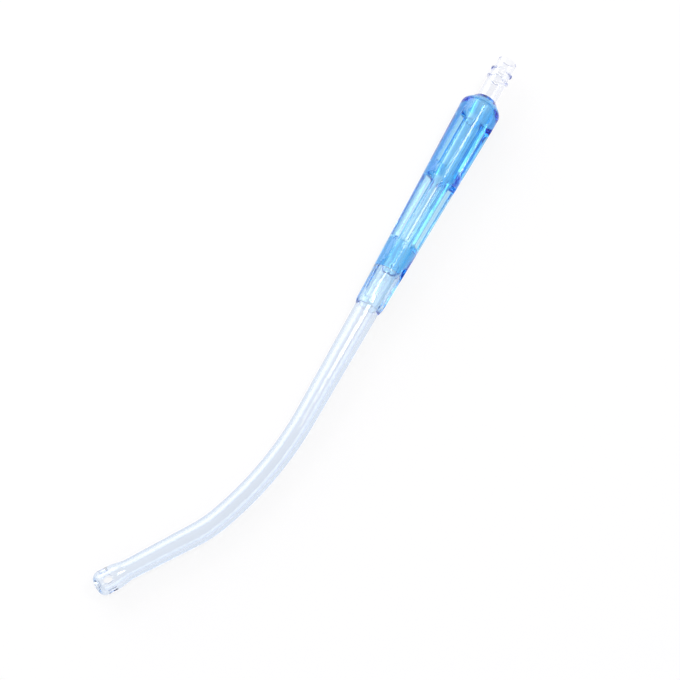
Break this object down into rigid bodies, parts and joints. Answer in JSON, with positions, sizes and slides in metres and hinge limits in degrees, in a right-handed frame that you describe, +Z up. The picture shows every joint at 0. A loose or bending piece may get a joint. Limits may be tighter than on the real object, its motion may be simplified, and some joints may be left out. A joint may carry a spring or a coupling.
{
  "type": "yankauer suction tip",
  "caption": "Rigid bent suction tube with a bulb tip and side eyes, a ribbed see-through grip and a ringed stem for suction tubing.",
  "frame": {"origin": "middle of the underside of the part's box, on the surface that it lies on", "axes": "+Z up from that surface, +X along the grip towards the connector's mouth as seen from above, +Y to the side that the tip bends to"},
  "size_m": [0.2728, 0.0492, 0.0171],
  "materials": {
    "tube_plastic": "clear, moulded, faintly blue",
    "grip_plastic": "see-through blue, moulded",
    "stem_plastic": "clear, moulded"
  },
  "bodies": {
    "root": {"suction_tube": "tube_plastic", "grip_handle": "grip_plastic", "tubing_connector": "stem_plastic"}
  },
  "joints": []
}
